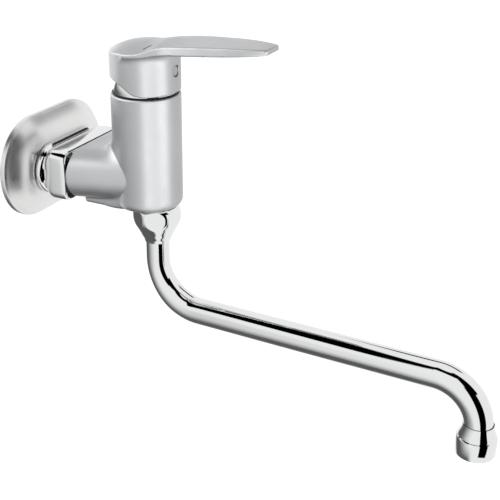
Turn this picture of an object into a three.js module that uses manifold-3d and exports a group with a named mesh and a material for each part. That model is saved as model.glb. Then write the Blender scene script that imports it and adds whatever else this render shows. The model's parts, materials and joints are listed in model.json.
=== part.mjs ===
// Wall-mounted single-lever mixer tap with a swivelling S-shaped tube spout, in millimetres.
// The wall is the plane x = 0, +X points out of the wall, +Y runs along it and +Z is up.
// The origin is midway between the two supply inlets, on the wall.
import * as THREE from "three";
import { ConvexGeometry } from "three/addons/geometries/ConvexGeometry.js";
import { mergeVertices } from "three/addons/utils/BufferGeometryUtils.js";
import Module from "manifold-3d";

const wasm = await Module();
wasm.setup();

// ---------------------------------------------------------------- driving dimensions
const GAP = 0.3; // between pieces that touch
const ROUND = 40; // sides of a large turned piece
const SMALL = 20; // sides of a small turned piece

const BODY_X = 80; // body axis to wall
const BODY_R = 23.1;
const BODY_TOP = 56.1;
const BODY_BOTTOM = -21.5;
const CHAMBER_R = 18.2; // cartridge chamber
const CHAMBER_FLOOR = 24;

const INLET_Y = 20; // half of the 40 mm centre distance
const ARM_X = 37.2; // wall-side end face of the rear arm
const ARM_HALF = 35.5;
const ARM_HIGH = 16.9; // half height, also the radius of its round ends
const ARM_ROOT_X = 77;
const ARM_ROOT_HALF = 22.8;
const KEEL_X = 40.4; // step under the arm
const WEB_R = 9; // concave web between arm top and body

const PLATE_HALF = 56.2;
const PLATE_HIGH = 34.8;
const PLATE_DEEP = 14;
const PLATE_WALL = 2.4;
const WEB_HALF = 5.2; // stiffening web behind the rosette, on the centre line
const OPENING_R = 14.3; // opening for a union nut

const SLEEVE_HALF = 35;
const SLEEVE_HIGH = 16.4;
const SLEEVE_WALL = 1.1;
const SLEEVE_RIM_HALF = 37.4;
const SLEEVE_RIM_HIGH = 17.4;
const SLEEVE_RIM_DEEP = 4;

const NUT_AF = 24; // union nut across flats
const THREAD_R = 10.6; // G 1/2 supply thread
const NUT_X = 10.5;
const NUT_LONG = 17;

const PIVOT_Z = 54; // lever pivot and centre of the dome
const DOME_R = 21.2;
const STEM_HALF = 3.2;

const CAP_R = BODY_R;
const CAP_BOTTOM = 58;
const CAP_BACK_Z = 66.5; // raised rim on the wall side
const CAP_ROOF_Z = 77;
const CROWN_R = 55.9; // spherical crown of the cap
const CROWN_Z = 34.6;
const TIP_X = 169;
const TIP_HALF = 8.5;
const SCREW_Z = 72;

const SPOUT_X = 85.9; // swivel axis, slightly in front of the body axis
const SPOUT_TURN = -6; // rest angle of the spout, degrees from the wall's normal
const SPOUT_NECK_R = 8.1;
const SPOUT_R = 9.1;
const TUBE_WALL = 1;
const SPOUT_LOW_Z = -95.2; // corner of the lower bend's centre lines
const SPOUT_RISE = 2.3; // degrees
const SPOUT_REACH = 235.6; // swivel axis to outlet axis
const BEND_LOW = 33.3;
const BEND_HIGH = 27.7;
const COLLAR_TOP = -120.3;
const COLLAR_HIGH = 12.1;
const COLLAR_R = 12.4;

// ---------------------------------------------------------------- shape helpers
// A turned piece about the vertical axis through (x, y): profile is a list of [radius, z].
function turned(profile, sides = ROUND, x = 0, y = 0) {
  const points = profile.map(([r, z]) => new THREE.Vector2(r, z));
  return new THREE.LatheGeometry(points, sides).rotateX(Math.PI / 2).translate(x, y, 0);
}

// A turned ring about the vertical axis.
function ring(outer, inner, low, high, sides = SMALL, x = 0, y = 0) {
  return turned([[inner, low], [outer, low], [outer, high], [inner, high], [inner, low]], sides, x, y);
}

// A turned rod about the vertical axis.
function rod(radius, low, high, sides = SMALL, x = 0, y = 0) {
  return turned([[0, low], [radius, low], [radius, high], [0, high]], sides, x, y);
}

// Lays a piece made about the vertical axis along +X, on the line through (y, z).
function alongX(geometry, y = 0, z = 0) {
  return geometry.rotateY(Math.PI / 2).translate(0, y, z);
}

// A box between two corners.
function block(low, high) {
  const size = high.map((v, i) => v - low[i]);
  const middle = high.map((v, i) => (v + low[i]) / 2);
  return new THREE.BoxGeometry(...size).translate(...middle);
}

// Half-turn-ended oblong outline, half long and high in the section plane.
function oblongPoints(half, high, arcs = 12) {
  const points = [];
  for (const side of [1, -1]) {
    for (let i = 0; i <= arcs; i += 1) {
      const a = ((i / arcs - 0.5) + (side < 0 ? 1 : 0)) * Math.PI;
      points.push([side * (half - high) + high * Math.cos(a), high * Math.sin(a)]);
    }
  }
  return points;
}

// Convex loft through oblong sections: each section is [x, half width, half height].
function oblongLoft(sections, arcs = 12) {
  const points = sections.flatMap(([x, half, high]) =>
    oblongPoints(half, high, arcs).map(([y, z]) => new THREE.Vector3(x, y, z)));
  return new ConvexGeometry(points);
}

// Extrudes an outline drawn in the XZ plane along Y, from -half to +half.
function sideCut(shape, half) {
  return new THREE.ExtrudeGeometry(shape, { depth: 2 * half, bevelEnabled: false, curveSegments: 10 })
    .translate(0, 0, -half)
    .rotateX(Math.PI / 2);
}

// Extrudes an outline drawn in the XY plane upwards.
function planCut(shape, low, high) {
  return new THREE.ExtrudeGeometry(shape, { depth: high - low, bevelEnabled: false, curveSegments: 24 })
    .translate(0, 0, low);
}

// three.js geometry to a manifold solid and back.
function solid(geometry) {
  const bare = geometry.clone();
  bare.deleteAttribute("normal");
  bare.deleteAttribute("uv");
  const merged = mergeVertices(bare, 1e-4);
  return new wasm.Manifold(new wasm.Mesh({
    numProp: 3,
    vertProperties: merged.attributes.position.array,
    triVerts: new Uint32Array(merged.index.array),
  }));
}

function geometryOf(body) {
  const mesh = body.getMesh();
  return new THREE.BufferGeometry()
    .setAttribute("position", new THREE.BufferAttribute(mesh.vertProperties, 3))
    .setIndex(new THREE.BufferAttribute(mesh.triVerts, 1));
}

// First piece with the added ones joined and the cut ones taken away.
function shaped(base, { add = [], cut = [], keep = [] }) {
  let body = solid(base);
  for (const piece of add) body = body.add(solid(piece));
  for (const piece of keep) body = body.intersect(solid(piece));
  for (const piece of cut) body = body.subtract(solid(piece));
  return geometryOf(body);
}

// ---------------------------------------------------------------- materials
const finish = (color, roughness, metalness) =>
  new THREE.MeshStandardMaterial({ color, roughness, metalness });
const chrome = () => finish(0xdfe2e5, 0.12, 1);
const brass = () => finish(0xc9a865, 0.35, 1);
const steel = () => finish(0xb9bcc0, 0.3, 1);
const plastic = (color) => finish(color, 0.5, 0);
const rubber = () => finish(0x1c1c1e, 0.8, 0);
const ceramic = () => finish(0xf1efe9, 0.25, 0);

const tap = new THREE.Group();
const spout = new THREE.Group();
spout.position.x = SPOUT_X;
spout.rotation.z = THREE.MathUtils.degToRad(SPOUT_TURN);
tap.add(spout);

function place(name, geometry, material, group = tap) {
  const mesh = new THREE.Mesh(geometry, material);
  mesh.name = name;
  group.add(mesh);
}

// ---------------------------------------------------------------- wall side
// Domed oblong rosette, hollow behind, with a web between the two round openings for the unions.
function wallPlate() {
  const skin = (inset, deep) => oblongLoft([
    [-1 * (inset > 0), PLATE_HALF - inset, PLATE_HIGH - inset],
    [deep * 0.25, PLATE_HALF - inset, PLATE_HIGH - inset],
    [deep * 0.42, PLATE_HALF - inset - 1.2, PLATE_HIGH - inset - 1.2],
    [deep * 0.62, PLATE_HALF - inset - 5, PLATE_HIGH - inset - 5],
    [deep * 0.85, PLATE_HALF - inset - 12, PLATE_HIGH - inset - 11],
    [deep, PLATE_HALF - inset - 21, PLATE_HIGH - inset - 18.5],
  ]);
  const web = block([0, -WEB_HALF, -PLATE_HIGH + 2], [PLATE_DEEP - 1, WEB_HALF, PLATE_HIGH - 2]);
  const shell = shaped(skin(0, PLATE_DEEP), { cut: [skin(PLATE_WALL, PLATE_DEEP - PLATE_WALL)] });
  const cut = [-1, 1].map((side) => alongX(rod(OPENING_R, -1, PLATE_DEEP + 1, ROUND), side * INLET_Y));
  return shaped(shell, { add: [shaped(web, { keep: [skin(0, PLATE_DEEP)] })], cut });
}

// Polished sleeve that covers the union nuts, with a flared rim against the rosette.
function neckSleeve() {
  const start = PLATE_DEEP + GAP;
  const rimEnd = start + SLEEVE_RIM_DEEP;
  const end = ARM_X - GAP;
  const wide = [SLEEVE_RIM_HALF, SLEEVE_RIM_HIGH];
  const slim = [SLEEVE_HALF, SLEEVE_HIGH];
  const rim = oblongLoft([[start, ...wide], [rimEnd, ...wide]]);
  const flare = oblongLoft([[rimEnd, ...wide], [rimEnd + 3, ...slim]]);
  const barrel = oblongLoft([[rimEnd, ...slim], [end, ...slim]]);
  const hollow = oblongLoft([
    [start - 1, SLEEVE_HALF - SLEEVE_WALL, SLEEVE_HIGH - SLEEVE_WALL],
    [end + 1, SLEEVE_HALF - SLEEVE_WALL, SLEEVE_HIGH - SLEEVE_WALL],
  ]);
  return shaped(rim, { add: [flare, barrel], cut: [hollow] });
}

// Hexagonal union nut, open towards the wall, with an inner lip that holds the tailpiece.
function unionNut(y) {
  const corner = NUT_AF / Math.sqrt(3);
  const hex = new THREE.CylinderGeometry(corner, corner, NUT_LONG, 6)
    .rotateZ(Math.PI / 2)
    .rotateX(Math.PI / 6)
    .translate(NUT_X + NUT_LONG / 2, 0, 0);
  const chamfer = alongX(turned([
    [0, NUT_X - 1], [corner - 1.4, NUT_X - 1], [corner + 0.2, NUT_X + 1.4],
    [corner + 0.2, NUT_X + NUT_LONG - 1.4], [corner - 1.4, NUT_X + NUT_LONG + 1], [0, NUT_X + NUT_LONG + 1],
  ], SMALL));
  const thread = alongX(rod(THREAD_R, NUT_X - 1, NUT_X + NUT_LONG - 3));
  const lip = alongX(rod(8.4, NUT_X, NUT_X + NUT_LONG + 1));
  return shaped(hex, { keep: [chamfer], cut: [thread, lip] }).translate(0, y, 0);
}

// Brass tailpiece: a flange in the nut and a tube screwed into the arm.
function tailpiece(y) {
  const flange = NUT_X + NUT_LONG - 3 - GAP;
  return alongX(turned([
    [6, flange - 2], [THREAD_R - GAP, flange - 2], [THREAD_R - GAP, flange], [8.1, flange],
    [8.1, ARM_X + 9], [6, ARM_X + 9], [6, flange - 2],
  ]), y);
}

function inletWasher(y) {
  const face = NUT_X + NUT_LONG - 5 - 2 * GAP;
  return alongX(ring(THREAD_R - GAP, 6.2, face - 2, face), y);
}

// Round strainer with a ring of holes, in front of the washer.
function strainer(y) {
  const face = NUT_X + NUT_LONG - 7 - 3 * GAP;
  const holes = [0, 1, 2, 3, 4, 5].map((i) => {
    const a = (i * Math.PI) / 3;
    return alongX(rod(1.3, face - 2, face + 1, 8), 3.8 * Math.cos(a), 3.8 * Math.sin(a));
  });
  const middle = alongX(rod(1.3, face - 2, face + 1, 8));
  const disc = alongX(rod(THREAD_R - 0.6, face - 0.7, face));
  return shaped(disc, { cut: [...holes, middle] }).translate(0, y, 0);
}

// ---------------------------------------------------------------- body casting
function bodyCasting() {
  const barrel = turned([
    [0, BODY_BOTTOM], [BODY_R - 3, BODY_BOTTOM], [BODY_R - 0.9, BODY_BOTTOM + 0.9], [BODY_R, BODY_BOTTOM + 3],
    [BODY_R, BODY_TOP - 1], [BODY_R - 1, BODY_TOP], [0, BODY_TOP],
  ], ROUND, BODY_X);
  const arm = oblongLoft([
    [ARM_X, ARM_HALF - 0.8, ARM_HIGH - 0.8], [ARM_X + 0.8, ARM_HALF, ARM_HIGH],
    [ARM_ROOT_X, ARM_ROOT_HALF, ARM_HIGH],
  ], 16);
  const keel = sideCut(keelOutline(), BODY_R - 3);
  const web = webPiece();
  const chamber = rod(CHAMBER_R, CHAMBER_FLOOR, BODY_TOP + 1, ROUND, BODY_X);
  const outlet = rod(SPOUT_NECK_R + 2.6, BODY_BOTTOM - 1, -2, SMALL, SPOUT_X);
  const outletWay = rod(4.5, -3, CHAMBER_FLOOR + 1, SMALL, BODY_X + 7);
  const cuts = [chamber, outlet, outletWay];
  for (const side of [-1, 1]) {
    cuts.push(alongX(rod(8.4, ARM_X - 1, ARM_X + 10), side * INLET_Y));
    cuts.push(inletWay(side));
    cuts.push(rod(3.6, -3, CHAMBER_FLOOR + 1, SMALL, BODY_X - 6, side * 7));
  }
  return shaped(barrel, { add: [arm, keel, web], cut: cuts });
}

// Flat-bottomed keel below the arm, level with the bottom of the body.
function keelOutline() {
  const low = BODY_BOTTOM;
  const outline = new THREE.Shape();
  outline.moveTo(KEEL_X, -8);
  outline.lineTo(KEEL_X, low + 3);
  outline.quadraticCurveTo(KEEL_X, low, KEEL_X + 3, low);
  outline.lineTo(BODY_X, low);
  outline.lineTo(BODY_X, -8);
  outline.closePath();
  return outline;
}

// Concave ring round the body, kept only over the arm.
function webPiece() {
  const profile = [[BODY_R - 2, ARM_HIGH - 2], [BODY_R + WEB_R, ARM_HIGH - 2]];
  for (let i = 0; i <= 6; i += 1) {
    const a = (i / 6) * (Math.PI / 2);
    profile.push([BODY_R + WEB_R * (1 - Math.sin(a)), ARM_HIGH + WEB_R * (1 - Math.cos(a))]);
  }
  profile.push([BODY_R - 2, ARM_HIGH + WEB_R], [BODY_R - 2, ARM_HIGH - 2]);
  const low = ARM_HIGH - 3;
  const high = ARM_HIGH + WEB_R + 1;
  const overArm = planCut(new THREE.Shape([
    new THREE.Vector2(BODY_X - 40, -16), new THREE.Vector2(BODY_X, -16),
    new THREE.Vector2(BODY_X, 16), new THREE.Vector2(BODY_X - 40, 16),
  ]), low, high);
  return shaped(turned(profile, ROUND, BODY_X), { keep: [overArm] });
}

// Slanting supply way from the arm's end to below the cartridge.
function inletWay(side) {
  const from = new THREE.Vector3(ARM_X + 8, side * INLET_Y, 0);
  const to = new THREE.Vector3(BODY_X - 5, side * 6.6, 0);
  const along = to.clone().sub(from);
  const way = new THREE.CylinderGeometry(5, 5, along.length(), SMALL);
  const up = new THREE.Vector3(0, 1, 0);
  const turn = new THREE.Quaternion().setFromUnitVectors(up, along.clone().normalize());
  const middle = from.add(along.multiplyScalar(0.5));
  return way.applyQuaternion(turn).translate(middle.x, middle.y, middle.z);
}

// ---------------------------------------------------------------- cartridge
const PORTS = [[-6, -7, 3.3], [-6, 7, 3.3], [7, 0, 4.2]]; // x, y, radius about the body axis

function ported(radius, low, high, sides = ROUND) {
  const cut = PORTS.map(([x, y, r]) => rod(r, low - 1, high + 1, 16, BODY_X + x, y));
  return shaped(rod(radius, low, high, sides, BODY_X), { cut });
}

// Stack heights above the chamber floor.
const GASKET = [CHAMBER_FLOOR + GAP, CHAMBER_FLOOR + 1.5];
const BASE = [GASKET[1] + GAP, GASKET[1] + 4.5];
const FIXED_DISC = [BASE[1] + GAP, BASE[1] + 4.3];
const MOVING_DISC = [FIXED_DISC[1] + GAP, FIXED_DISC[1] + 4.3];
const CARRIER = [MOVING_DISC[1] + GAP, MOVING_DISC[1] + 5];
const ROTOR_FLANGE = [CARRIER[1] + GAP, CARRIER[1] + 2.3];
const HOUSING_TOP = ROTOR_FLANGE[1] + GAP + 1.9;
const DISC_X = BODY_X - 2.7; // closed position of the sliding disc

// Sliding disc with a mixing pocket in its lower face.
function movingDisc() {
  const [low, high] = MOVING_DISC;
  const outline = new THREE.Shape().absellipse(DISC_X + 2.7, 0, 5.2, 6.4, 0, 2 * Math.PI);
  const pocket = planCut(outline, low - 1, high - 1.6);
  return shaped(rod(10.4, low, high, ROUND, DISC_X), { cut: [pocket] });
}

// Carrier over the sliding disc, with a slot for the end of the stem.
function discCarrier() {
  const [low, high] = CARRIER;
  const slot = block([DISC_X - 0.6, -4.4, low + 1.2], [DISC_X + 6, 4.4, high + 1]);
  return shaped(rod(11.2, low, high, ROUND, DISC_X), { cut: [slot] });
}

// Turning guide: a flange in the housing and a slotted neck that carries the pivot pin.
function rotor() {
  const [low, high] = ROTOR_FLANGE;
  const neck = rod(9.8, low, PIVOT_Z + 5.5, ROUND, BODY_X);
  const slot = block([BODY_X - 8, -STEM_HALF - GAP, low - 1], [BODY_X + 8, STEM_HALF + GAP, PIVOT_Z + 7]);
  const pinHole = new THREE.CylinderGeometry(1.6, 1.6, 22, 16).translate(BODY_X, 0, PIVOT_Z);
  return shaped(rod(14.7, low, high, ROUND, BODY_X), { add: [neck], cut: [slot, pinHole] });
}

function pivotPin() {
  return new THREE.CylinderGeometry(1.5, 1.5, 18, 16).translate(BODY_X, 0, PIVOT_Z);
}

// Plastic shell round the discs, with a neck for the rotor.
function cartridgeHousing() {
  const low = BASE[1] + GAP;
  const roof = ROTOR_FLANGE[1] + GAP;
  return turned([
    [15.2, low], [17.3, low], [17.3, HOUSING_TOP], [12.2, HOUSING_TOP], [12.2, PIVOT_Z + 1.4],
    [10.2, PIVOT_Z + 1.4], [10.2, roof], [15.2, roof], [15.2, low],
  ], ROUND, BODY_X);
}

// Threaded ring that clamps the cartridge, with a hexagonal wrench socket.
function clampNut() {
  const low = HOUSING_TOP + GAP;
  const high = BODY_TOP - 0.5;
  const socket = new THREE.CylinderGeometry(15.6, 15.6, 4, 6).rotateX(Math.PI / 2).translate(BODY_X, 0, high);
  return shaped(ring(CHAMBER_R - GAP, 12.6, low, high, ROUND, BODY_X), { cut: [socket] });
}

// Black slip ring in the seam between body and lever cap.
function seamRing() {
  return ring(BODY_R - 1.3, DOME_R + 0.2, BODY_TOP + GAP, BODY_TOP + 1.3, ROUND, BODY_X);
}

// Polished dome over the cartridge, centred on the lever pivot.
function domeCover() {
  const profile = [];
  const start = BODY_TOP + GAP;
  const inner = DOME_R - 1.6;
  const top = PIVOT_Z + 13.4;
  const arc = (radius, from, to) => {
    const a = Math.asin((from - PIVOT_Z) / radius);
    const b = Math.asin((to - PIVOT_Z) / radius);
    for (let i = 0; i <= 7; i += 1) {
      const t = a + ((b - a) * i) / 7;
      profile.push([radius * Math.cos(t), PIVOT_Z + radius * Math.sin(t)]);
    }
  };
  arc(DOME_R, start, top);
  arc(inner, top, start);
  profile.push(profile[0]);
  return turned(profile, ROUND, BODY_X);
}

// ---------------------------------------------------------------- lever
// Side view of the lever: sloping top, thin blade and raised back rim.
function leverSide() {
  const front = BODY_X + CAP_R;
  const back = BODY_X - CAP_R;
  const side = new THREE.Shape();
  side.moveTo(front + 2, CAP_BOTTOM);
  side.lineTo(front + 2, 85);
  side.bezierCurveTo(front + 12, 86.1, TIP_X - 26, 88.6, TIP_X, 90.4);
  side.lineTo(TIP_X + 0.8, 91.2);
  side.lineTo(TIP_X, 94);
  side.bezierCurveTo(TIP_X - 30, 94.4, front + 18, 93.2, front - 2, 89.7);
  side.bezierCurveTo(front - 14, 87.6, back + 16, 83.4, back + 3, 80.8);
  side.quadraticCurveTo(back, 80.1, back - 0.5, 77.5);
  side.lineTo(back - 0.5, CAP_BACK_Z);
  side.lineTo(BODY_X - 12, CAP_BACK_Z);
  side.lineTo(BODY_X + 5, CAP_BOTTOM);
  side.closePath();
  return side;
}

// The side view as an upright slab, wider than the lever.
function leverSlab() {
  return new THREE.ExtrudeGeometry(leverSide(), { depth: 60, bevelEnabled: false, curveSegments: 10 })
    .rotateX(Math.PI / 2)
    .translate(0, 30, 0);
}

// Round cap that widens in a concave fillet below the blade.
function capFillet() {
  return turned([
    [0, CAP_BOTTOM - 4], [CAP_R, CAP_BOTTOM - 4], [CAP_R, 75.5], [CAP_R + 0.4, 78.6], [CAP_R + 1.6, 81.4],
    [CAP_R + 4, 83.8], [CAP_R + 8, 85.3], [CAP_R + 22, 86.2], [CAP_R + 75, 87], [CAP_R + 75, 100], [0, 100],
  ], 64, BODY_X);
}

// Plan of the lever: the round cap and a blade that narrows in a curve to the tip.
function leverPlan() {
  const a = THREE.MathUtils.degToRad(58);
  const x = BODY_X + CAP_R * Math.cos(a);
  const y = CAP_R * Math.sin(a);
  const plan = new THREE.Shape();
  plan.absarc(BODY_X, 0, CAP_R, a, 2 * Math.PI - a, false);
  plan.bezierCurveTo(x + 8, -y + 0.6, x + 34, -18.6, TIP_X - 26, -15.6);
  plan.bezierCurveTo(TIP_X - 14, -14.2, TIP_X - 4, -11, TIP_X, -TIP_HALF);
  plan.quadraticCurveTo(TIP_X + 1.2, 0, TIP_X, TIP_HALF);
  plan.bezierCurveTo(TIP_X - 4, 11, TIP_X - 14, 14.2, TIP_X - 26, 15.6);
  plan.bezierCurveTo(x + 34, 18.6, x + 8, y - 0.6, x, y);
  return plan;
}

// Hollow cap over the dome, a boss for the stem and a hole for the grub screw.
function lever() {
  const hollow = rod(CAP_R - 1.6, CAP_BOTTOM - 10, CAP_ROOF_Z, ROUND, BODY_X);
  const column = planCut(leverPlan(), CAP_BOTTOM - 4, 100);
  const sphere = new THREE.SphereGeometry(CROWN_R, 72, 54).translate(BODY_X + 8.4, 0, CROWN_Z);
  const crown = shaped(sphere, { keep: [block([BODY_X - 29, -29, CAP_ROOF_Z - 3], [BODY_X + 24, 29, 100])] });
  const body = shaped(leverSlab(), { add: [crown] });
  const blank = shaped(column, { keep: [body, capFillet()], cut: [hollow] });
  const boss = rod(6.8, 66, CAP_ROOF_Z + 1, SMALL, BODY_X);
  const socket = block(
    [BODY_X - STEM_HALF - GAP, -STEM_HALF - GAP, 60],
    [BODY_X + STEM_HALF + GAP, STEM_HALF + GAP, 75],
  );
  const thread = alongX(rod(2.6, BODY_X, BODY_X + 12, 16), 0, SCREW_Z);
  const hole = alongX(rod(3.7, BODY_X + 15, BODY_X + CAP_R + 3), 0, SCREW_Z);
  return shaped(blank, { add: [boss], cut: [socket, thread, hole, indexPocket()] });
}

// Small index bar, and the pocket for it, in the sloping crown of the cap.
function onCrown(geometry, height) {
  return geometry
    .translate(0, 0, height)
    .rotateY(-0.15)
    .rotateZ(THREE.MathUtils.degToRad(51))
    .translate(BODY_X + 11.15, -15.2, 88.3);
}

const indexBar = () => onCrown(new THREE.BoxGeometry(5.4, 0.9, 1), -0.45);
const indexPocket = () => onCrown(new THREE.BoxGeometry(6, 1.5, 3), 0.25);

// Square stem with a round foot that moves the disc carrier.
function stem() {
  const foot = turned([
    [0, CARRIER[0] + 1.6], [2, CARRIER[0] + 1.9], [2.6, CARRIER[0] + 3], [2.2, CARRIER[1]],
    [2.2, PIVOT_Z - 5], [0, PIVOT_Z - 5],
  ], 16, BODY_X);
  const shank = block([BODY_X - STEM_HALF, -STEM_HALF, PIVOT_Z - 6], [BODY_X + STEM_HALF, STEM_HALF, 74.6]);
  const pinHole = new THREE.CylinderGeometry(1.6, 1.6, 22, 16).translate(BODY_X, 0, PIVOT_Z);
  return shaped(shank, { add: [foot], cut: [pinHole] });
}

function grubScrew() {
  const start = BODY_X + STEM_HALF + GAP;
  const key = new THREE.CylinderGeometry(1.4, 1.4, 3, 6).rotateZ(Math.PI / 2).translate(start + 7.5, 0, 0);
  return shaped(alongX(rod(2.3, start, start + 8, 16)), { cut: [key] }).translate(0, 0, SCREW_Z);
}

function screwPlug() {
  const face = BODY_X + CAP_R - 0.8;
  const profile = [[0, face - 3], [3.3, face - 3], [3.3, face - 0.4], [2.9, face], [0, face]];
  return alongX(turned(profile, SMALL), 0, SCREW_Z);
}

// ---------------------------------------------------------------- spout, about its own axis
// Centre line: down, round the lower bend, out, round the upper bend and down.
function spoutPath(top, bottom) {
  const rise = THREE.MathUtils.degToRad(SPOUT_RISE);
  const down = new THREE.Vector3(0, 0, -1);
  const out = new THREE.Vector3(Math.cos(rise), 0, Math.sin(rise));
  const corner = new THREE.Vector3(0, 0, SPOUT_LOW_Z);
  const far = new THREE.Vector3(SPOUT_REACH, 0, SPOUT_LOW_Z + SPOUT_REACH * Math.tan(rise));
  const half = (Math.PI / 2 + rise) / 2;
  const path = new THREE.CurvePath();
  let at = new THREE.Vector3(0, 0, top);
  const straight = (to) => {
    path.add(new THREE.LineCurve3(at.clone(), to.clone()));
    at = to.clone();
  };
  const bend = (middle, before, after, radius) => {
    const cut = radius * Math.tan(half);
    const start = middle.clone().addScaledVector(before, -cut);
    const end = middle.clone().addScaledVector(after, cut);
    straight(start);
    path.add(new Bend(start, before, end, after, radius));
    at = end;
  };
  bend(corner, down, out, BEND_LOW);
  bend(far, out, down, BEND_HIGH);
  straight(new THREE.Vector3(SPOUT_REACH, 0, bottom));
  return path;
}

// Circular arc in space that leaves start along before and reaches end along after.
class Bend extends THREE.Curve {
  constructor(start, before, end, after, radius) {
    super();
    const aside = after.clone().addScaledVector(before, -after.dot(before)).normalize();
    this.middle = start.clone().addScaledVector(aside, radius);
    this.from = aside.clone().negate();
    this.toward = before.clone();
    this.angle = before.angleTo(after);
    this.radius = radius;
  }

  getPoint(t, target = new THREE.Vector3()) {
    const a = t * this.angle;
    return target.copy(this.middle)
      .addScaledVector(this.from, this.radius * Math.cos(a))
      .addScaledVector(this.toward, this.radius * Math.sin(a));
  }
}

// Hollow tube that widens from the swivel neck to its full size through the lower bend.
function spoutTube() {
  const path = spoutPath(-24, COLLAR_TOP + 4);
  const section = new THREE.Shape().absarc(0, 0, SPOUT_R, 0, 2 * Math.PI, false);
  section.holes.push(new THREE.Path().absarc(0, 0, SPOUT_R - TUBE_WALL, 0, 2 * Math.PI, true));
  const steps = 44;
  const tube = new THREE.ExtrudeGeometry(section, { steps, extrudePath: path, curveSegments: 12 });
  const stations = path.getSpacedPoints(steps);
  const positions = tube.getAttribute("position");
  const v = new THREE.Vector3();
  const nearest = (best, p) => (p.distanceToSquared(v) < best.distanceToSquared(v) ? p : best);
  for (let i = 0; i < positions.count; i += 1) {
    v.fromBufferAttribute(positions, i);
    const middle = stations.reduce(nearest);
    const widen = THREE.MathUtils.smoothstep(middle.x - middle.z, 66, 112);
    const scale = THREE.MathUtils.lerp(SPOUT_NECK_R, SPOUT_R, widen) / SPOUT_R;
    v.sub(middle).multiplyScalar(scale).add(middle);
    positions.setXYZ(i, v.x, v.y, v.z);
  }
  return tube;
}

// Brass spigot on the tube's upper end, grooved for two seals and a snap ring.
function spoutSpigot() {
  const r = SPOUT_NECK_R + 2.3;
  const bore = SPOUT_NECK_R - 2.6;
  const groove = r - 1.7;
  const profile = [[bore, -3], [r, -3]];
  for (const z of [-7, -12]) profile.push([r, z], [groove, z], [groove, z - 2.4], [r, z - 2.4]);
  profile.push([r, -18], [r, -23.6], [bore, -23.6], [bore, -3]);
  return turned(profile.reverse(), ROUND);
}

function seal(z) {
  const r = SPOUT_NECK_R + 2.3 - 1.7 + 0.1;
  return ring(r + 1.6, r + 0.1, z - 2.2, z - 0.2, ROUND);
}

// Slip ring between the spigot's foot and the union nut.
function slipRing() {
  return ring(SPOUT_NECK_R + 4.4, SPOUT_NECK_R + 0.4, -26.6, -24.2, ROUND);
}

// Bulb-shaped union nut with six flats, which carries the spout.
function spoutNut() {
  const blank = turned([
    [SPOUT_NECK_R + 5, BODY_BOTTOM - GAP], [14.6, BODY_BOTTOM - GAP], [16.2, -25.5], [16.4, -29], [15.6, -34],
    [13.6, -39.5], [11.4, -44], [9.6, -47.4], [SPOUT_NECK_R + 0.4, -47.4], [SPOUT_NECK_R + 0.4, -27],
    [SPOUT_NECK_R + 5, -27], [SPOUT_NECK_R + 5, BODY_BOTTOM - GAP],
  ].reverse(), ROUND);
  const af = 29.4;
  const hex = new THREE.CylinderGeometry(af / Math.sqrt(3), af / Math.sqrt(3), 40, 6)
    .rotateX(Math.PI / 2)
    .rotateZ(THREE.MathUtils.degToRad(26))
    .translate(0, 0, -35);
  return shaped(blank, { keep: [hex] });
}

// Outlet: bell socket and collar, aerator insert, its mesh and a washer.
function outletCollar() {
  const low = COLLAR_TOP - COLLAR_HIGH;
  return turned([
    [SPOUT_R + 0.3, COLLAR_TOP + 9], [SPOUT_R + 0.9, COLLAR_TOP + 6], [SPOUT_R + 1.6, COLLAR_TOP + 3.2],
    [COLLAR_R - 0.7, COLLAR_TOP + 0.9], [COLLAR_R, COLLAR_TOP - 0.4], [COLLAR_R, low + 1.2],
    [COLLAR_R - 1, low], [COLLAR_R - 2, low], [COLLAR_R - 2, COLLAR_TOP + 1.4],
    [SPOUT_R + 0.3, COLLAR_TOP + 2.6], [SPOUT_R + 0.3, COLLAR_TOP + 9],
  ].reverse(), ROUND, SPOUT_REACH);
}

function aeratorWasher() {
  return ring(COLLAR_R - 2.3, 6.5, COLLAR_TOP - 1.4, COLLAR_TOP + 0.6, ROUND, SPOUT_REACH);
}

function aeratorInsert() {
  const low = COLLAR_TOP - COLLAR_HIGH + 1;
  const r = COLLAR_R - 2.3;
  const holes = [0, 1, 2, 3, 4, 5, 6, 7].map((i) => {
    const a = (i * Math.PI) / 4;
    return rod(1.5, low - 1, COLLAR_TOP, 8, SPOUT_REACH + 6 * Math.cos(a), 6 * Math.sin(a));
  });
  return shaped(rod(r, low + 1, COLLAR_TOP - 1.7, ROUND, SPOUT_REACH), { cut: holes });
}

function aeratorMesh() {
  const low = COLLAR_TOP - COLLAR_HIGH + 1;
  const bars = [-6, -3, 0, 3, 6];
  const cut = [];
  for (const x of bars) {
    for (const y of bars) {
      if (Math.hypot(x, y) > 8) continue;
      cut.push(block([SPOUT_REACH + x - 1, y - 1, low - 1], [SPOUT_REACH + x + 1, y + 1, low + 1]));
    }
  }
  return shaped(rod(COLLAR_R - 2.3, low, low + 0.7, ROUND, SPOUT_REACH), { cut });
}

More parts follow.
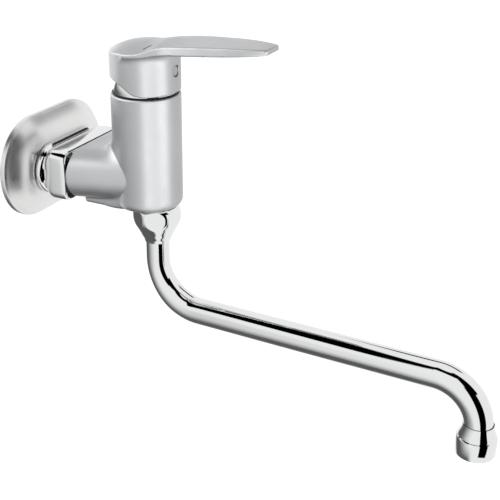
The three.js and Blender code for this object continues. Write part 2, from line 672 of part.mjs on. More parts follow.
// ---------------------------------------------------------------- assembly
place("wall_plate", wallPlate(), chrome());
place("neck_sleeve", neckSleeve(), chrome());
for (const [side, y] of [["left", -INLET_Y], ["right", INLET_Y]]) {
  place(`union_nut_${side}`, unionNut(y), chrome());
  place(`tailpiece_${side}`, tailpiece(y), brass());
  place(`inlet_washer_${side}`, inletWasher(y), rubber());
  place(`inlet_strainer_${side}`, strainer(y), steel());
}
place("body_casting", bodyCasting(), chrome());
place("cartridge_gasket", ported(17.4, ...GASKET), rubber());
place("cartridge_base", ported(17.4, ...BASE), plastic(0x9aa0a6));
place("fixed_disc", ported(14.6, ...FIXED_DISC), ceramic());
place("cartridge_housing", cartridgeHousing(), plastic(0xe8e6df));
place("clamp_nut", clampNut(), brass());
place("seam_ring", seamRing(), plastic(0x17181a));
place("dome_cover", domeCover(), chrome());
place("spout_nut", spoutNut().translate(SPOUT_X, 0, 0), chrome());

place("rotor", rotor(), plastic(0x5a7fa6));
place("pivot_pin", pivotPin(), steel());
place("moving_disc", movingDisc(), ceramic());
place("disc_carrier", discCarrier(), plastic(0xd8d5cc));

place("lever", lever(), chrome());
place("lever_stem", stem(), brass());
place("grub_screw", grubScrew(), steel());
place("screw_plug", screwPlug(), chrome());
place("index_bar", indexBar(), plastic(0xb0242c));

place("spout_tube", spoutTube(), chrome(), spout);
place("spout_spigot", spoutSpigot(), brass(), spout);
place("spout_seal_upper", seal(-7), rubber(), spout);
place("spout_seal_lower", seal(-12), rubber(), spout);
place("spout_slip_ring", slipRing(), plastic(0xf0f0ec), spout);
place("outlet_collar", outletCollar(), chrome(), spout);
place("aerator_washer", aeratorWasher(), rubber(), spout);
place("aerator_insert", aeratorInsert(), plastic(0xd9dcdf), spout);
place("aerator_mesh", aeratorMesh(), plastic(0xaeb3b8), spout);

export default tap;
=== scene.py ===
"""Surfaces, finishes and studio for a wall-mounted single-lever mixer tap.

The frame is in metres: the wall is x = 0, +X points out of it, +Y runs along it and +Z is up.
Sizes inside this file are in millimetres and are turned into metres when a mesh is made.
"""

import json
import math

import bpy
import numpy as np
from mathutils import Matrix, Vector


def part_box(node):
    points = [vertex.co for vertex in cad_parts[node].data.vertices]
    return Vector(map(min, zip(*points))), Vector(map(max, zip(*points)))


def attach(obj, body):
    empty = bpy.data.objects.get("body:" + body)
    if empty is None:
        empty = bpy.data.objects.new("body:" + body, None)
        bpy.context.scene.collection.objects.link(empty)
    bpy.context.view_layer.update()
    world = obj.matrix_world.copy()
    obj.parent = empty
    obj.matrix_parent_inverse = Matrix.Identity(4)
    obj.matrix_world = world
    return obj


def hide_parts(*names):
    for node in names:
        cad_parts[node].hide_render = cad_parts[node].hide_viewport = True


bl_info = {
    "name": "Wall Mixer Tap Looks",
    "version": (1, 0, 0),
    "blender": (4, 5, 0),
    "location": "View3D > Sidebar > Mixer Tap",
    "description": "Builds the visible surfaces, finishes and studio of a wall-mounted mixer tap",
    "category": "Object",
}

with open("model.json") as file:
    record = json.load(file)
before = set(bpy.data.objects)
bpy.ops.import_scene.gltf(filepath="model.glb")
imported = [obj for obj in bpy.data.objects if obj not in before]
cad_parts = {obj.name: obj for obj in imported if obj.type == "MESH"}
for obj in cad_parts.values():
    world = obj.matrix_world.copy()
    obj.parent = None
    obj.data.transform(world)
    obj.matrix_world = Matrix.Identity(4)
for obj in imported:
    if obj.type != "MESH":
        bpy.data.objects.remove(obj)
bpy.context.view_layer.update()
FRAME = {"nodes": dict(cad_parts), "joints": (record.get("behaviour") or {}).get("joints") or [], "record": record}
MM = 0.001


def span(node):
    """Lowest corner, highest corner and centre of a CAD node, in millimetres."""
    low, high = (np.array(corner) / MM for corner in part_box(node))
    return low, high, (low + high) / 2


BODY_LOW, BODY_HIGH, _ = span("body_casting")
CAP_LOW, CAP_HIGH, _ = span("lever")
_, PLATE_HIGH, _ = span("wall_plate")
NECK_LOW, NECK_HIGH, _ = span("neck_sleeve")
NUT_LOW, NUT_HIGH, NUT_MID = span("spout_nut")
COLLAR_LOW, COLLAR_HIGH, COLLAR_MID = span("outlet_collar")
SEAM_LOW, SEAM_HIGH, SEAM_MID = span("seam_ring")
DOME_LOW, DOME_HIGH, _ = span("dome_cover")
_, _, PLUG_MID = span("screw_plug")
_, _, MARK_MID = span("index_bar")
AXIS_X = float(SEAM_MID[0])
SWIVEL_X = float(NUT_MID[0])
PIVOT_Z = next(j["pos_m"][2] for j in FRAME["joints"] if j["name"] == "lever_lift") / MM


# ------------------------------------------------------------------ settings
class TapSizes(bpy.types.PropertyGroup):
    """Sizes of the tap's visible surfaces"""

    body_radius: bpy.props.FloatProperty(
        name="Body radius",
        description="Radius of the round body and of the lever's cap",
        default=0.0231,
        unit="LENGTH",
    )
    tube_radius: bpy.props.FloatProperty(
        name="Tube radius",
        description="Outside radius of the spout tube along its run",
        default=0.0091,
        unit="LENGTH",
    )
    neck_radius: bpy.props.FloatProperty(
        name="Tube neck radius",
        description="Outside radius of the spout tube below its union nut",
        default=0.0081,
        unit="LENGTH",
    )
    spout_turn: bpy.props.FloatProperty(
        name="Spout turn",
        description="Rest angle of the spout from the wall's normal",
        default=math.radians(-6.0),
        subtype="ANGLE",
    )
    skin_step: bpy.props.FloatProperty(
        name="Surface step",
        description="Spacing of the surface points on the cast pieces",
        default=0.0008,
        unit="LENGTH",
    )


class TapFinishes(bpy.types.PropertyGroup):
    """Colours and roughness of the tap's platings"""

    # The satin colour is chrome darkened to the body's darker bands: painted shade, which the lamps that light
    # only the body and lever bring back up.
    satin: bpy.props.FloatVectorProperty(
        name="Satin plate",
        description="Colour of the body's and lever's satin plating",
        subtype="COLOR",
        default=(0.45, 0.458, 0.465),
    )
    mirror: bpy.props.FloatVectorProperty(
        name="Mirror plate",
        description="Colour of the polished plating",
        subtype="COLOR",
        default=(0.81, 0.815, 0.82),
    )
    plate: bpy.props.FloatVectorProperty(
        name="Wall plate",
        description="Colour of the wall plate's plating",
        subtype="COLOR",
        default=(0.79, 0.79, 0.785),
    )
    satin_roughness: bpy.props.FloatProperty(
        name="Satin roughness",
        description="Roughness of the satin plating",
        default=0.42,
        min=0.0,
        max=1.0,
        subtype="FACTOR",
    )


# ------------------------------------------------------------------ mesh making
def place(name, data):
    """A new object in the scene that holds a mesh, a lamp or a camera."""
    holder = bpy.data.objects.new(name, data)
    bpy.context.scene.collection.objects.link(holder)
    return holder


def make_mesh(name, points, faces, sharp_degrees=None, normals=None):
    """A new smooth piece from points in millimetres, with given normals or with edges sharp over an angle."""
    mesh = bpy.data.meshes.new(name)
    mesh.from_pydata([tuple(p * MM) for p in np.asarray(points, float)], [], faces)
    mesh.validate()
    mesh.update()
    piece = place(name, mesh)
    mesh.polygons.foreach_set("use_smooth", [True] * len(mesh.polygons))
    if normals is not None:
        mesh.normals_split_custom_set_from_vertices([tuple(n) for n in normals])
    else:
        mesh.set_sharp_from_angle(angle=math.radians(sharp_degrees))
    return piece


def finish_piece(piece, body, slot, node):
    """Gives a piece its finish and the body that it moves with, and hides the CAD node that it stands for."""
    piece.data.materials.append(finish(slot))
    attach(piece, body)
    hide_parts(node)


def turned_over(faces):
    """The same faces, looking the other way."""
    return [tuple(reversed(face)) for face in faces]


def loft(rings, close_ends=True):
    """Points and faces through closed rings of the same count, capped by flat faces."""
    count = len(rings[0])
    points = np.concatenate(rings)
    faces = []
    for i in range(len(rings) - 1):
        for j in range(count):
            k = (j + 1) % count
            faces.append((i * count + j, i * count + k, (i + 1) * count + k, (i + 1) * count + j))
    if close_ends:
        faces.append(tuple(reversed(range(count))))
        faces.append(tuple((len(rings) - 1) * count + j for j in range(count)))
    return points, faces


def ring_loop(rings):
    """As loft, but the last ring joins the first, for a hollow piece."""
    points, faces = loft(rings, close_ends=False)
    count = len(rings[0])
    last = (len(rings) - 1) * count
    for j in range(count):
        k = (j + 1) % count
        faces.append((last + j, last + k, k, j))
    return points, faces


def level_ring(centre, radius, z, angles):
    """Points of a level ring round (x, y); the radius is one number, or one for each angle."""
    x, y = centre
    heights = np.full(len(angles), z)
    return np.column_stack([x + radius * np.cos(angles), y + radius * np.sin(angles), heights])


def lathe(profile, centre, sides=128):
    """Turned hollow piece round (x, y); profile is a closed row of (radius, z), upwards on the outside."""
    angles = np.linspace(0, 2 * math.pi, sides, endpoint=False)
    return ring_loop([level_ring(centre, r, z, angles) for r, z in profile])


def rounded(profile, radius=0.5, steps=4):
    """Rounds every corner of a closed [r, z] profile by an arc of about the given radius."""
    pts = [np.array(p, float) for p in profile]
    out = []
    for i, p in enumerate(pts):
        a, b = pts[i - 1], pts[(i + 1) % len(pts)]
        la, lb = np.linalg.norm(a - p), np.linalg.norm(b - p)
        cut = min(radius, 0.45 * la, 0.45 * lb)
        s, e = p + (a - p) / la * cut, p + (b - p) / lb * cut
        for t in np.linspace(0, 1, steps + 1):
            out.append((1 - t) ** 2 * s + 2 * t * (1 - t) * p + t * t * e)
    return out


def smooth_line(points):
    """A smooth function through (x, value) points, level beyond the ends."""
    xs, ys = (np.array(v, float) for v in zip(*points))
    slopes = np.gradient(ys, xs)

    def value(x):
        x = np.clip(x, xs[0], xs[-1])
        i = np.clip(np.searchsorted(xs, x) - 1, 0, len(xs) - 2)
        h = xs[i + 1] - xs[i]
        t = (x - xs[i]) / h
        a, b = ys[i], ys[i + 1]
        return (
            (2 * t**3 - 3 * t**2 + 1) * a
            + (t**3 - 2 * t**2 + t) * h * slopes[i]
            + (3 * t**2 - 2 * t**3) * b
            + (t**3 - t**2) * h * slopes[i + 1]
        )

    return value


def join(a, b, soft):
    """Union of two distance fields with a fillet of about soft millimetres."""
    h = np.clip(0.5 + 0.5 * (b - a) / soft, 0, 1)
    return b + (a - b) * h - soft * h * (1 - h)


def meet(a, b, soft):
    """Intersection of two distance fields with a rounded edge."""
    return -join(-a, -b, soft)


def crossings(value, axis):
    """Where a grid of values changes sign along an axis, with the values at both ends of each step."""
    along = np.moveaxis(value, axis, 0)
    start, end = (np.moveaxis(v, 0, axis) for v in (along[:-1], along[1:]))
    return (start < 0) != (end < 0), start, end


def field_surface(field, low, high, step):
    """Points, faces and normals of the surface where a distance field is zero."""
    nought, probe, least_slope, settling = 1e-9, 0.02, 0.3, 5
    axes = [np.arange(a - 2 * step, b + 2.5 * step, step) for a, b in zip(low, high)]
    value = field(*np.meshgrid(*axes, indexing="ij"))
    value[np.abs(value) < nought] = nought
    shape = np.array(value.shape) - 1
    total = np.zeros((*shape, 3))
    count = np.zeros(shape)
    for axis in range(3):
        u, v = [i for i in range(3) if i != axis]
        crossing, start, end = crossings(value, axis)
        t = np.where(crossing, start / np.where(crossing, start - end, 1), 0)
        for du in (0, 1):
            for dv in (0, 1):
                pick = [slice(None)] * 3
                pick[u] = slice(du, du + shape[u])
                pick[v] = slice(dv, dv + shape[v])
                hit = crossing[tuple(pick)]
                offset = np.zeros((*shape, 3))
                offset[..., axis] = t[tuple(pick)]
                offset[..., u] = du
                offset[..., v] = dv
                total += offset * hit[..., None]
                count += hit
    active = count > 0
    index = np.full(shape, -1)
    index[active] = np.arange(active.sum())
    points = (np.argwhere(active) + total[active] / count[active][:, None]) * step
    points += np.array([a[0] for a in axes])
    faces = []
    for axis in range(3):
        u, v = [(1, 2), (2, 0), (0, 1)][axis]
        crossing, _, _ = crossings(value, axis)
        ids = np.argwhere(crossing)
        ids = ids[(ids[:, u] > 0) & (ids[:, v] > 0) & (ids[:, u] < shape[u]) & (ids[:, v] < shape[v])]
        quad = []
        for du, dv in ((-1, -1), (0, -1), (0, 0), (-1, 0)):
            at = ids.copy()
            at[:, u] += du
            at[:, v] += dv
            quad.append(index[at[:, 0], at[:, 1], at[:, 2]])
        quad = np.stack(quad, 1)
        flip = value[ids[:, 0], ids[:, 1], ids[:, 2]] > 0
        quad[flip] = quad[flip][:, ::-1]
        faces.append(quad)
    faces = np.concatenate(faces)
    for _ in range(settling):
        x, y, z = points.T
        slope = np.stack(
            [
                field(x + probe, y, z) - field(x - probe, y, z),
                field(x, y + probe, z) - field(x, y - probe, z),
                field(x, y, z + probe) - field(x, y, z - probe),
            ],
            1,
        ) / (2 * probe)
        size = np.maximum(np.linalg.norm(slope, axis=1), least_slope)
        move = (field(x, y, z) / size**2)[:, None] * slope
        points = points - np.clip(move, -step / 2, step / 2)
    normals = slope / np.maximum(np.linalg.norm(slope, axis=1), 1e-6)[:, None]
    return points, [tuple(int(i) for i in q) for q in faces], normals


# ------------------------------------------------------------------ finishes
BUMP_DEPTH = 0.0002


def new_material(name):
    """A material with its node tree and its shader."""
    material = bpy.data.materials.new(name)
    material.use_nodes = True
    tree = material.node_tree
    return material, tree, tree.nodes["Principled BSDF"]


def object_noise(tree, scale, detail, stretch=(1, 1, 1)):
    """The value of a noise that is fixed to the piece."""
    place_node = tree.nodes.new("ShaderNodeTexCoord")
    mapping = tree.nodes.new("ShaderNodeMapping")
    mapping.inputs["Scale"].default_value = stretch
    noise = tree.nodes.new("ShaderNodeTexNoise")
    noise.inputs["Scale"].default_value = scale
    noise.inputs["Detail"].default_value = detail
    tree.links.new(place_node.outputs["Object"], mapping.inputs["Vector"])
    tree.links.new(mapping.outputs["Vector"], noise.inputs["Vector"])
    return noise.outputs["Fac"]


def spread(tree, source, low, high):
    """Maps the middle range of a noise onto low to high."""
    ramp = tree.nodes.new("ShaderNodeMapRange")
    ramp.inputs["From Min"].default_value = 0.3
    ramp.inputs["From Max"].default_value = 0.7
    ramp.inputs["To Min"].default_value = low
    ramp.inputs["To Max"].default_value = high
    tree.links.new(source, ramp.inputs["Value"])
    return ramp.outputs["Result"]


def set_colour(tree, shader, source, dark, light):
    """Colour that drifts between dark and light with a noise."""
    mix = tree.nodes.new("ShaderNodeMix")
    mix.data_type = "RGBA"
    mix.inputs["A"].default_value = (*dark, 1)
    mix.inputs["B"].default_value = (*light, 1)
    tree.links.new(spread(tree, source, 0, 1), mix.inputs["Factor"])
    tree.links.new(mix.outputs["Result"], shader.inputs["Base Color"])


def set_roughness(tree, shader, source, low, high):
    """Roughness that varies between low and high with a noise."""
    tree.links.new(spread(tree, source, low, high), shader.inputs["Roughness"])


def set_bump(tree, shader, source, strength, distance=BUMP_DEPTH):
    """Fine relief from a noise."""
    bump = tree.nodes.new("ShaderNodeBump")
    bump.inputs["Strength"].default_value = strength
    bump.inputs["Distance"].default_value = distance
    tree.links.new(source, bump.inputs["Height"])
    tree.links.new(bump.outputs["Normal"], shader.inputs["Normal"])


def plated(name, colour, roughness, change, ripple, shade=0.03):
    """Chrome plate: slight colour drift, uneven polish and a very faint orange-peel."""
    material, tree, shader = new_material(name)
    shader.inputs["Metallic"].default_value = 1.0
    set_colour(tree, shader, object_noise(tree, 22, 3), [max(0, c - shade) for c in colour], colour)
    set_roughness(tree, shader, object_noise(tree, 160, 5), max(0.0, roughness - change), roughness + change)
    set_bump(tree, shader, object_noise(tree, 420, 2), ripple)
    return material


def moulded(name, colour, roughness=0.45, grain=900, depth=0.12, shade=0.86, change=0.06):
    """Moulded plastic, rubber or ceramic with a fine grain."""
    material, tree, shader = new_material(name)
    set_colour(tree, shader, object_noise(tree, 60, 3), [c * shade for c in colour], colour)
    fine = object_noise(tree, grain, 3)
    set_roughness(tree, shader, fine, roughness - change, roughness + change)
    set_bump(tree, shader, fine, depth)
    return material


def machined(name, colour, roughness=0.3, shade=0.8):
    """Turned metal: fine level tool marks, one above the other."""
    material, tree, shader = new_material(name)
    shader.inputs["Metallic"].default_value = 1.0
    marks = object_noise(tree, 90, 4, (1, 1, 14))
    set_colour(tree, shader, marks, [c * shade for c in colour], colour)
    set_roughness(tree, shader, marks, roughness - 0.08, roughness + 0.1)
    set_bump(tree, shader, marks, 0.15, 0.0003)
    return material


FINISHES = {}


def finish(name):
    """The shared material of that name, made when first asked for."""
    if name not in FINISHES:
        look = bpy.context.scene.tap_finishes
        makers = {
            "satin_chrome": (plated, look.satin, look.satin_roughness, 0.03, 0.03),
            "polished_chrome": (plated, look.mirror, 0.035, 0.012, 0.003),
            "plate_chrome": (plated, look.plate, 0.34, 0.03, 0.02),
            "brass": (machined, (0.78, 0.63, 0.34)),
            "steel": (machined, (0.66, 0.67, 0.69), 0.26),
            "black_rubber": (moulded, (0.03, 0.03, 0.032), 0.62),
            "grey_plastic": (moulded, (0.42, 0.44, 0.46)),
            "pale_plastic": (moulded, (0.8, 0.79, 0.75)),
            "blue_plastic": (moulded, (0.16, 0.3, 0.5)),
            "black_plastic": (moulded, (0.012, 0.012, 0.013), 0.5),
            "red_plastic": (moulded, (0.12, 0.035, 0.03), 0.3),
            "disc_ceramic": (moulded, (0.88, 0.87, 0.84), 0.22, 500, 0.05),
        }
        maker, *values = makers[name]
        FINISHES[name] = maker(name, *values)
    return FINISHES[name]


# ------------------------------------------------------------------ outlines
def oblong(half, high, corner, per_corner=14, per_side=8):
    """Rounded rectangle in the YZ plane, half wide and high, as evenly shared points."""
    corner = min(corner, high, half)
    centres = [(half - corner, high - corner), (corner - half, high - corner)]
    centres += [(corner - half, corner - high), (half - corner, corner - high)]
    points = []
    for i, (cy, cz) in enumerate(centres):
        start = i * math.pi / 2
        arc = [
            (cy + corner * math.cos(start + t), cz + corner * math.sin(start + t))
            for t in np.linspace(0, math.pi / 2, per_corner)
        ]
        points += arc
        ny, nz = centres[(i + 1) % 4]
        turn = start + math.pi / 2
        end = (ny + corner * math.cos(turn), nz + corner * math.sin(turn))
        for t in np.linspace(0, 1, per_side + 2)[1:-1]:
            points.append((arc[-1][0] * (1 - t) + end[0] * t, arc[-1][1] * (1 - t) + end[1] * t))
    return np.array(points)


def cross_sections(sections):
    """Rings across X from (x, half width, half height, corner radius)."""
    rings = []
    for x, half, high, corner in sections:
        outline = oblong(half, high, corner)
        rings.append(np.column_stack([np.full(len(outline), x), outline]))
    return rings


# ------------------------------------------------------------------ operators
class TAP_OT_wall_plate(bpy.types.Operator):
    """Domed oblong rosette with a thin rolled edge and a flat land under the neck"""

    bl_idname = "tap.wall_plate"
    bl_label = "Wall plate"

    def execute(self, context):
        deep, half, high = PLATE_HIGH
        edge, wall, land, opening = 3.6, 2.2, 18.5, 14.4
        start, lip, swell = edge + 0.35, 1.0, 2.1

        def section(x, inset):
            return x, half - inset, high - inset, high - inset

        def dome(top, t):
            return start + (top - start) * (1 - (1 - t) ** swell)

        outside = [section(0.0, 0.25), section(0.25, 0.0), section(edge - 1.2, 0.0), section(edge - 0.5, 0.1)]
        outside += [section(edge, 0.4), section(start, lip)]
        outside += [section(dome(deep, t), lip + (land - lip) * t) for t in np.linspace(0, 1, 26)[1:]]
        outside.append(section(deep, high - opening))
        inside = [section(deep - wall, high - opening)]
        inside += [section(dome(deep - wall, t), wall + (land - wall) * t) for t in np.linspace(1, 0, 12)]
        inside.append(section(0.0, wall))
        points, faces = ring_loop(cross_sections(outside + inside))
        piece = make_mesh("wall_plate_shell", points, turned_over(faces), 30)
        finish_piece(piece, "mixer_body", "plate_chrome", "wall_plate")
        return {"FINISHED"}


class TAP_OT_neck(bpy.types.Operator):
    """Polished neck between the rosette and the arm, with a rolled rim and inner faces painted black as the shade
    in the gap at the arm
    """

    bl_idname = "tap.neck"
    bl_label = "Neck"

    def execute(self, context):
        x0, x1 = NECK_LOW[0], NECK_HIGH[0]
        wide, tall = NECK_HIGH[1], NECK_HIGH[2]
        outside = [
            (x0, wide - 0.7, tall - 0.7, tall - 0.7),
            (x0 + 0.3, wide - 0.2, tall - 0.2, tall - 0.2),
            (x0 + 1.0, wide, tall, tall),
            (x0 + 2.8, wide, tall, tall),
            (x0 + 3.5, wide - 0.3, tall - 0.2, tall - 0.6),
            (x0 + 4.2, wide - 1.2, tall - 0.7, 15),
            (x0 + 4.8, wide - 2.3, tall - 1.3, 13.5),
            (x0 + 5.6, wide - 2.9, tall - 1.3, 11.5),
            (x0 + 7.0, wide - 2.7, tall - 0.9, 8.6),
            (x0 + 9.0, wide - 2.3, tall - 0.55, 6.6),
            (x0 + 12.0, wide - 2.1, tall - 0.4, 5.8),
            (x1 - 4.0, wide - 2.1, tall - 0.4, 5.8),
            (x1 - 1.2, wide - 2.2, tall - 0.5, 6.2),
            (x1 - 0.4, wide - 2.6, tall - 0.9, 6.4),
            (x1, wide - 3.2, tall - 1.5, 6.4),
        ]
        inside = [
            (x1, wide - 3.7, tall - 2.0, 6.0),
            (x0 + 6, wide - 4.2, tall - 2.6, 8.0),
            (x0, wide - 4.2, tall - 2.6, 12.0),
        ]
        points, faces = ring_loop(cross_sections(outside + inside))
        piece = make_mesh("neck_cover", points, turned_over(faces), 32)
        finish_piece(piece, "mixer_body", "polished_chrome", "neck_sleeve")
        # The inner faces take the black plastic finish as painted shade: they darken the gap between the neck and
        # the arm.
        piece.data.materials.append(finish("black_plastic"))
        first_inner_face = (len(outside) - 1) * len(oblong(wide, tall, tall))
        for face in piece.data.polygons:
            face.material_index = int(face.index >= first_inner_face)
        return {"FINISHED"}


def body_field(x, y, z):
    """Round body with the arm, the keel below it and the chambers inside."""
    radius = bpy.context.scene.tap_sizes.body_radius / MM
    rho = np.hypot(x - AXIS_X, y)
    low, high = BODY_LOW[2], BODY_HIGH[2]
    top_edge, foot_edge = 1.4, 6.0
    barrel = meet(meet(rho - radius, z - high, top_edge), low - z, foot_edge)

    mouth, wide, tall, mouth_edge = BODY_LOW[0], BODY_HIGH[1], 16.9, 1.2
    end_x, end_half, straight_from = 77, 22.8, 50
    taper = (wide - end_half) / (end_x - mouth)
    centre = (wide - tall) - taper * np.clip(x - mouth, 0, straight_from)
    tube = np.hypot(np.maximum(np.abs(y) - centre, 0), z) - tall
    arm = meet(tube * math.cos(math.atan(taper)), mouth - x, mouth_edge)
    arm = np.maximum(arm, x - AXIS_X)

    keel_half, keel_edge, keel_x, keel_back, keel_fillet = 19.6, 3.0, 40.4, 2.2, 1.6
    keel = meet(meet(np.abs(y) - keel_half, low - z, keel_edge), keel_x - x, keel_back)
    keel = np.maximum(np.maximum(keel, z), x - AXIS_X)
    arm = join(arm, keel, keel_fillet)

    crease, fillet, crease_x, fade = 0.3, 8.7, 72, 14
    shell = join(barrel, arm, crease + fillet * np.clip((crease_x - x) / fade, 0, 1))
    shell = np.maximum(np.maximum(shell, low - z), mouth - x)

    cavity, cavity_floor, outlet, outlet_top = 18.2, 24, 10.7, -2
    inlet, inlet_side, inlet_end, opening_edge = 8.4, 20, 46, 0.6
    hollow = np.maximum(rho - cavity, cavity_floor - z)
    hollow = np.minimum(hollow, np.maximum(np.hypot(x - SWIVEL_X, y) - outlet, z - outlet_top))
    for side in (-1, 1):
        hollow = np.minimum(hollow, np.maximum(np.hypot(y - inlet_side * side, z) - inlet, x - inlet_end))
    return meet(shell, -hollow, opening_edge)


class TAP_OT_body(bpy.types.Operator):
    """Body casting: barrel, tapered arm and keel in one blended skin"""

    bl_idname = "tap.body"
    bl_label = "Body"

    def execute(self, context):
        step = context.scene.tap_sizes.skin_step / MM
        points, faces, normals = field_surface(body_field, BODY_LOW, BODY_HIGH, step)
        piece = make_mesh("body_skin", points, faces, normals=normals)
        finish_piece(piece, "mixer_body", "satin_chrome", "body_casting")
        return {"FINISHED"}


# The lever's outlines along X, in millimetres: the top's edge line, the crown's rise over it, the
# blade's underside, the blade's half width and the cap's lower rim.
LEVER_TOP = smooth_line([
    (57, 83.1), (62, 83.6), (68, 84.1), (76, 84.7), (82, 85.3), (88, 86.1), (91, 87.0), (94, 88.1),
    (98, 89.6), (105, 91.0), (115, 92.0), (133, 93.1), (150, 93.85), (160, 94.0), (170, 93.9),
])
LEVER_CROWN = smooth_line([
    (57, 0.4), (62, 2.5), (68, 4.2), (74, 5.1), (80, 5.2), (86, 4.8), (92, 3.9), (98, 2.6), (105, 1.2),
    (112, 0.3), (118, 0),
])
LEVER_UNDER = smooth_line([(100, 85.2), (110, 86.0), (122, 86.9), (148, 88.7), (170, 90.5)])
LEVER_HALF = smooth_line([
    (88, 21.5), (95, 20.2), (102, 19.2), (112, 18.7), (122, 18.1), (133, 17.0), (148, 15.0), (159, 12.6),
    (165, 10.6), (169.5, 8.6),
])
CAP_RIM = smooth_line([
    (56, 67.4), (62, 66.9), (68.7, 66.0), (73, 64.6), (77, 62.6), (81, 60.2), (84, 58.6), (87, 58.05),
    (104, 58),
])


def lever_height(x, y):
    """Height of the lever's top: the edge line and the crown between the two edges."""
    radius = bpy.context.scene.tap_sizes.body_radius / MM
    blade_x, least_half = 91, 3.0
    disc = np.sqrt(np.maximum(radius**2 - (x - AXIS_X) ** 2, least_half**2))
    half = np.where(x < blade_x, disc, LEVER_HALF(x))
    return LEVER_TOP(x) + LEVER_CROWN(x) * (1 - np.clip(y / half, -1, 1) ** 2)


def lever_field(x, y, z):
    """Round cap, blade and the fillet under it, with the bore and the stem's boss."""
    radius = bpy.context.scene.tap_sizes.body_radius / MM
    rho = np.hypot(x - AXIS_X, y)
    # Each slope brings a sloping height or width back to about a true distance.
    side_slope, top_slope, rim_slope = 0.94, 0.95, 0.8
    lean, tip_edge, under_edge, fillet, edge = 0.25, 1.6, 1.0, 7.0, 0.9
    side = np.abs(y) - LEVER_HALF(x) + lean * (z - LEVER_TOP(x) + 1.0)
    blade = meet(side * side_slope, x - CAP_HIGH[0], tip_edge)
    blade = np.maximum(blade, AXIS_X - x)
    blade = meet(blade, LEVER_UNDER(x) - z, under_edge)
    solid = join(rho - radius, blade, fillet)
    solid = meet(solid, (z - lever_height(x, y)) * top_slope, edge)
    solid = meet(solid, (CAP_RIM(x) - z) * rim_slope, edge)

    bore, bore_top, boss, boss_foot = 21.5, 77, 6.8, 66
    hollow = np.maximum(rho - bore, z - bore_top)
    hollow = np.maximum(hollow, -np.maximum(rho - boss, boss_foot - z))
    square, square_top = 3.5, 75
    socket = np.maximum(np.maximum(np.abs(x - AXIS_X), np.abs(y)) - square, z - square_top)
    from_screw = np.hypot(y, z - PLUG_MID[2])
    way, way_start, thread, thread_half = 3.7, 15, 2.6, 6
    passage = np.maximum(from_screw - way, AXIS_X + way_start - x)
    hole = np.maximum(from_screw - thread, np.abs(x - AXIS_X - thread_half) - thread_half)
    hollow = np.minimum(np.minimum(hollow, socket), np.minimum(passage, hole))
    return meet(solid, -hollow, 0.5)


class TAP_OT_lever(bpy.types.Operator):
    """Lever: round cap that flows into a flat blade, with the index mark on its top"""

    bl_idname = "tap.lever"
    bl_label = "Lever"

    def execute(self, context):
        step = context.scene.tap_sizes.skin_step / MM
        points, faces, normals = field_surface(lever_field, CAP_LOW, CAP_HIGH, step)
        piece = make_mesh("lever_skin", points, faces, normals=normals)
        finish_piece(piece, "lever_handle", "satin_chrome", "lever")

        turn, half_length, half_width, rings = math.radians(51), 3.0, 0.5, []
        ahead = np.array([math.cos(turn), math.sin(turn)])
        aside = np.array([-math.sin(turn), math.cos(turn)])
        # Across the mark: share of its half width, and height over the lever's top.
        upper = [(-1, -0.6), (-1, 0.02), (-0.8, 0.1), (-0.3, 0.16)]
        upper += [(-across, lift) for across, lift in reversed(upper)]
        for t in np.linspace(-1, 1, 25):
            wide = half_width * max(0.05, 1 - t**8) ** 0.5
            ring = []
            for across, lift in upper:
                x, y = MARK_MID[:2] + ahead * half_length * t + aside * wide * across
                ring.append((x, y, float(lever_height(x, y)) + lift))
            rings.append(np.array(ring))
        points, faces = loft(rings)
        mark = make_mesh("index_mark", points, turned_over(faces), 40)
        finish_piece(mark, "lever_handle", "red_plastic", "index_bar")
        return {"FINISHED"}


def on_sphere(radius, angle):
    """Radius and height of a point on a sphere round the lever's pivot."""
    return radius * math.cos(angle), PIVOT_Z + radius * math.sin(angle)


class TAP_OT_seam_and_dome(bpy.types.Operator):
    """Black ring in the seam, whose black is painted shade for the gap under the cap, and the polished dome under
    the cap
    """

    bl_idname = "tap.seam_and_dome"
    bl_label = "Seam ring and dome"

    def execute(self, context):
        depth, height, corner = 1.6, 0.65, 0.3
        radius = (SEAM_HIGH[0] - SEAM_LOW[0]) / 2
        low, high = SEAM_LOW[2], SEAM_LOW[2] + height
        outline = [(radius - depth, low), (radius, low), (radius, high), (radius - depth, high)]
        points, faces = lathe(rounded(outline, corner), (AXIS_X, 0))
        # The ring is black as painted shade: it darkens the gap between the cap and the body.
        piece = make_mesh("seam_slip_ring", points, faces, 50)
        finish_piece(piece, "mixer_body", "black_plastic", "seam_ring")

        sphere, wall = 21.2, 1.6
        hollow = sphere - wall
        low, high = DOME_LOW[2] - PIVOT_Z, DOME_HIGH[2] - PIVOT_Z
        outline = []
        for r, start, end, count in ((sphere, low, high, 26), (hollow, high, low, 18)):
            outline += [on_sphere(r, a) for a in np.linspace(math.asin(start / r), math.asin(end / r), count)]
        points, faces = lathe(outline, (AXIS_X, 0))
        piece = make_mesh("dome_skin", points, faces, 40)
        finish_piece(piece, "mixer_body", "polished_chrome", "dome_cover")
        return {"FINISHED"}


